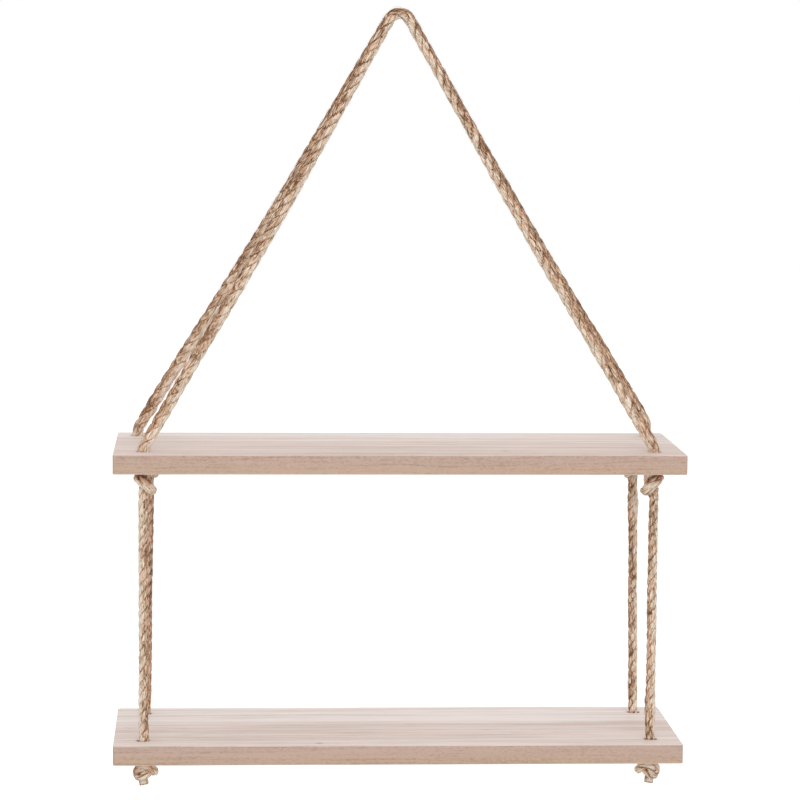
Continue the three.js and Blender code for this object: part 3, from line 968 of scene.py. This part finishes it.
class SHELF_OT_upper_ropes(bpy.types.Operator):
    """Lays the two ropes over the hook"""
    bl_idname = "shelf.upper_ropes"
    bl_label = "Ropes over the hook"

    def execute(self, context):
        board, rope, _, _ = settings()
        for row_name, row in ROWS.items():
            rng = np.random.default_rng(ROPE_SEED + row)
            x = ROPE_X + (board.back_outset if row > 0 else 0)
            line = Line(upper_route(row, rope, x), RUN_STEP)
            half = rope.run_diameter / 2
            from_end = np.minimum(line.along, line.length - line.along)
            slack = np.interp(from_end, (SLACK_FROM, SLACK_MOST, 0.8 * line.length / 2), (0, 1, 0))
            radius = half * (1 + RUN_SWELL * slack + 0.02 * wave(line.along, 60.0, rng))
            wisp = (WISP_FROM / line.length, WISP_TO / line.length)
            made = together(
                twisted(line, radius, rope.run_lay, rng, phase=0.7 * row),
                hairs(line, radius, int(line.length * rope.hairs_per_mm), rng),
                *(hairs(line, radius, WISP_HAIRS, rng, low, high, longest=7.0, spread=0.8, thickest=0.14,
                        pale=True) for low, high in (wisp, (1 - wisp[1], 1 - wisp[0]))),
            )
            finish = jute_finish(f"Jute {row_name} rope", rope, half, seed=37.0 * row)
            # Painted light and shade: the slanting rope is paler on its lower side and darker on its upper
            # side
            steepness = np.gradient(line.points[:, 2], line.along)
            level = np.sqrt(np.clip(1 - steepness ** 2, 0, 1))
            x = made[0][:, 0]
            middle, level = (np.interp(x, line.points[:, 0], a) for a in (line.points[:, 2], level))
            painted_light_and_tone = rope.run_side * np.clip((middle - made[0][:, 2]) * level / half, -1, 1)
            runs = [f"{row_name}_{side}_rope_run" for side in SIDES]
            piece = rope_piece(f"{row_name}_rope", made, finish, painted_light_and_tone, f"{row_name}_rope_bight", *runs)
            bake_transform(piece)
        return {"FINISHED"}


class SHELF_OT_legs(bpy.types.Operator):
    """Hangs the four ropes between the boards"""
    bl_idname = "shelf.legs"
    bl_label = "Ropes between the boards"

    def execute(self, context):
        _, rope, _, _ = settings()
        half = rope.leg_diameter / 2
        # Painted light: these ropes hang in the upper board's shade, and their finish is lifted paler for it
        finish = jute_finish("Jute between the boards", rope, half, seed=210.0, painted_light_lift=0.10)
        for corner, row, side in corners():
            rng = draws(LEG_SEED, row, side)
            inset = rope.back_lean if row > 0 else 0
            top = [side * (ROPE_X - inset), row * ROPE_Y, UPPER_LOW[2] - LEG_START]
            bottom = [side * (ROPE_X - rope.leg_lean), row * ROPE_Y, LOWER_HIGH[2] - LEG_IN_HOLE]
            line = Line([top, bottom], LEG_STEP)
            swell = 0.05 * wave(line.along, 45.0, rng)
            for share, more in LEG_SWELLS.get(corner, ()):
                swell += more * np.exp(-((line.along - share * line.length) / LEG_SWELL_REACH) ** 2)
            # Where it goes into the lower board, the rope is drawn in to fit the hole
            drawn_in = np.interp(line.length - line.along, (3.0, 9.0), (0.93, 1.0))
            radius = half * (1 + swell) * drawn_in
            made = together(
                twisted(line, radius, rope.leg_lay, rng, phase=rng.uniform(0, 6), loose=0.08),
                hairs(line, radius, int(line.length * rope.hairs_per_mm), rng, low=0.05, high=0.93),
            )
            made[3] = made[3] + [0, 0, rng.uniform(0, 900)]
            # Painted light and shade: the rope is paler on its outer side and darker on its inner side
            middle = np.interp(-made[0][:, 2], -line.points[:, 2], line.points[:, 0])
            painted_light_and_tone = rope.leg_painted_shading * np.clip(side * (made[0][:, 0] - middle) / half, -1, 1)
            for down, amount in LEG_SPOTS.get(corner, ()):
                place = (side * (ROPE_X - LEG_SPOT_IN), row * ROPE_Y - LEG_SPOT_FORWARD, UPPER_LOW[2] - down)
                painted_light_and_tone += soft_spots(made[0], [(*place, LEG_SPOT_REACH, amount)])
            piece = rope_piece(f"{corner}_leg_rope", made, finish, painted_light_and_tone, f"{corner}_rope_leg")
            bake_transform(piece)
        return {"FINISHED"}


class SHELF_OT_upper_knots(bpy.types.Operator):
    """Ties the four knots under the upper board"""
    bl_idname = "shelf.upper_knots"
    bl_label = "Upper knots"

    def execute(self, context):
        board, rope, knot, _ = settings()
        # Painted light: the knots hang in the board's shade, and their finish is lifted paler for it
        finish = jute_finish("Jute upper knots", rope, knot.rope_diameter / 2, seed=510.0, painted_light_lift=0.20,
                             painted_groove_shade=0.42, patchy=1.3)
        ends = (rope.run_diameter / 2, rope.leg_diameter / 2)
        middle = UPPER_LOW[2] - KNOT_DROP
        for corner, row, side in corners():
            rng = draws(UPPER_KNOT_SEED, row, side)
            outset, inset = (board.back_outset, rope.back_lean) if row > 0 else (0, 0)
            route = upper_knot_route(side, knot, outset, inset)
            line = Line(route + [side * (ROPE_X - KNOT_INSET), row * ROPE_Y, middle], KNOT_STEP)
            radius = tapered(line, ends, knot.rope_diameter / 2)
            radius = radius + KNOT_SWELL * np.exp(-((line.along - line.length / 2) / KNOT_SWELL_REACH) ** 2)
            made = together(*tied(line, radius, rope, knot, rng, 0.9))
            # Painted shade in part: the knot's darker stretches near the board stand partly for the board's
            # shade on it
            from_middle = (made[0] - [side * ROPE_X, row * ROPE_Y, middle]) * [side, 1, 1]
            # Painted light: the knots on the right are made paler
            painted_light_and_tone = soft_spots(from_middle, UPPER_KNOT_SPOTS) + knot.right_painted_light * (side > 0)
            piece = rope_piece(f"{corner}_knot_above", made, finish, painted_light_and_tone, f"{corner}_upper_knot")
            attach(piece, "upper_shelf")
        return {"FINISHED"}


class SHELF_OT_lower_knots(bpy.types.Operator):
    """Ties the four knots under the lower board, with the rope in its holes and the cut tails"""
    bl_idname = "shelf.lower_knots"
    bl_label = "Lower knots and tails"

    def execute(self, context):
        _, rope, knot, _ = settings()
        # Painted light: the knots hang in the board's shade, and their finish is lifted paler for it
        finish = jute_finish("Jute lower knots", rope, knot.rope_diameter / 2, seed=830.0, painted_light_lift=0.16,
                             painted_groove_shade=0.38, patchy=1.4)
        half = rope.leg_diameter / 2
        for corner, row, side in corners():
            rng = draws(LOWER_KNOT_SEED, row, side)
            place = [side * (ROPE_X - rope.leg_lean), row * ROPE_Y, LOWER_LOW[2]]
            line = Line(lower_knot_route(side, knot) + place, KNOT_STEP)
            radius = tapered(line, (half, half), knot.rope_diameter / 2)
            made = together(*tied(line, radius, rope, knot, rng, 1.0), cut_end(line, half, rng))
            painted_light_and_tone = soft_spots((made[0] - place) * [-side, 1, 1], LOWER_KNOT_SPOTS)
            # Painted light: the knots on the right are made paler
            painted_light_and_tone += knot.right_painted_light * (side > 0)
            piece = rope_piece(f"{corner}_knot_below", made, finish, painted_light_and_tone,
                               f"{corner}_lower_knot", f"{corner}_hole_rope", f"{corner}_rope_tail")
            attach(piece, "lower_shelf")
        return {"FINISHED"}


class SHELF_OT_boards(bpy.types.Operator):
    """Makes the two boards"""
    bl_idname = "shelf.boards"
    bl_label = "Boards"

    def execute(self, context):
        board = settings()[0]
        for name, low, high, back_outset in (
            ("upper", UPPER_LOW, UPPER_HIGH, board.back_outset),
            ("lower", LOWER_LOW, LOWER_HIGH, 0.0),
        ):
            middle = (low[2] + high[2]) / 2
            finish = wood_finish(f"Whitewashed wood {name} board", board, middle, **GRAIN[name])
            piece = board_mesh(f"{name}_board_wood", low, high, board, back_outset, finish)
            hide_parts(f"{name}_board")
            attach(piece, f"{name}_shelf")
        return {"FINISHED"}


class SHELF_OT_stage(bpy.types.Operator):
    """Sets up the floor and the lights"""
    bl_idname = "shelf.stage"
    bl_label = "Stage"

    def execute(self, context):
        stage = settings()[3]
        self.add_floor(stage)
        self.add_world(stage)
        data = bpy.data.lights.new("Soft box", "AREA")
        data.shape = "RECTANGLE"
        data.size, data.size_y = BOX_SIZE
        data.energy = stage.key_light
        lamp = bpy.data.objects.new("Soft box", data)
        lamp.location = BOX_PLACE
        aim = Vector(BOX_AIM) - lamp.location
        lamp.rotation_euler = aim.to_track_quat("-Z", "Y").to_euler()
        context.scene.collection.objects.link(lamp)
        context.scene.view_settings.view_transform = "Standard"
        return {"FINISHED"}

    def add_floor(self, stage):
        look = Finish("Floor")
        glow = look.background_rays() * stage.floor_glow
        look.set_surface(base_color=(0.85, 0.85, 0.85), roughness=0.9, emission_color=glow)
        look.feed(look.surface.inputs["Emission Strength"], 1.0)
        square = [(-1, -1, 0), (1, -1, 0), (1, 1, 0), (-1, 1, 0)]
        points = np.array(square) * FLOOR_HALF + [0, 0, -stage.floor_drop / MM]
        quads, triangles = np.array([[0, 1, 2, 3]]), np.empty((0, 3), int)
        floor = add_object("Floor", points, quads, triangles, look.material, smooth=False)

    def add_world(self, stage):
        world = bpy.data.worlds.new("Studio")
        bpy.context.scene.world = world
        world.use_nodes = True
        tree = world.node_tree
        tree.nodes.remove(tree.nodes["Background"])
        sky = Nodes(tree)
        seen = sky.add("ShaderNodeBackground", None, {"Color": (1, 1, 1), "Strength": 1.0})
        lit = sky.add("ShaderNodeBackground", None, {"Color": (1, 1, 1), "Strength": stage.fill_light})
        both = sky.add("ShaderNodeMixShader", None, {0: sky.background_rays(), 1: lit, 2: seen})
        sky.feed(tree.nodes["World Output"].inputs["Surface"], both)


class SHELF_PT_panel(bpy.types.Panel):
    """The shelf's tools in the sidebar"""
    bl_idname = "SHELF_PT_panel"
    bl_label = "Hanging Rope Shelf"
    bl_space_type = "VIEW_3D"
    bl_region_type = "UI"
    bl_category = "Rope Shelf"

    def draw(self, context):
        for operator in OPERATORS:
            self.layout.operator(operator.bl_idname)
        for group in settings():
            box = self.layout.box()
            for name in group.bl_rna.properties.keys():
                if name not in ("name", "rna_type"):
                    box.prop(group, name)


OPERATORS = (
    SHELF_OT_camera,
    SHELF_OT_upper_ropes,
    SHELF_OT_legs,
    SHELF_OT_upper_knots,
    SHELF_OT_lower_knots,
    SHELF_OT_boards,
    SHELF_OT_stage,
)
GROUPS = {
    "shelf_board": BoardSettings,
    "shelf_rope": RopeSettings,
    "shelf_knot": KnotSettings,
    "shelf_stage": StageSettings,
}


def register():
    for group in GROUPS.values():
        bpy.utils.register_class(group)
    for name, group in GROUPS.items():
        setattr(bpy.types.Scene, name, PointerProperty(type=group))
    for item in (*OPERATORS, SHELF_PT_panel):
        bpy.utils.register_class(item)


def unregister():
    for item in (SHELF_PT_panel, *reversed(OPERATORS)):
        bpy.utils.unregister_class(item)
    for name, group in GROUPS.items():
        delattr(bpy.types.Scene, name)
        bpy.utils.unregister_class(group)


def main():
    register()
    bpy.ops.shelf.camera()
    bpy.ops.shelf.upper_ropes()
    bpy.ops.shelf.legs()
    bpy.ops.shelf.upper_knots()
    bpy.ops.shelf.lower_knots()
    bpy.ops.shelf.boards()
    bpy.ops.shelf.stage()


if __name__ == "__main__":
    main()
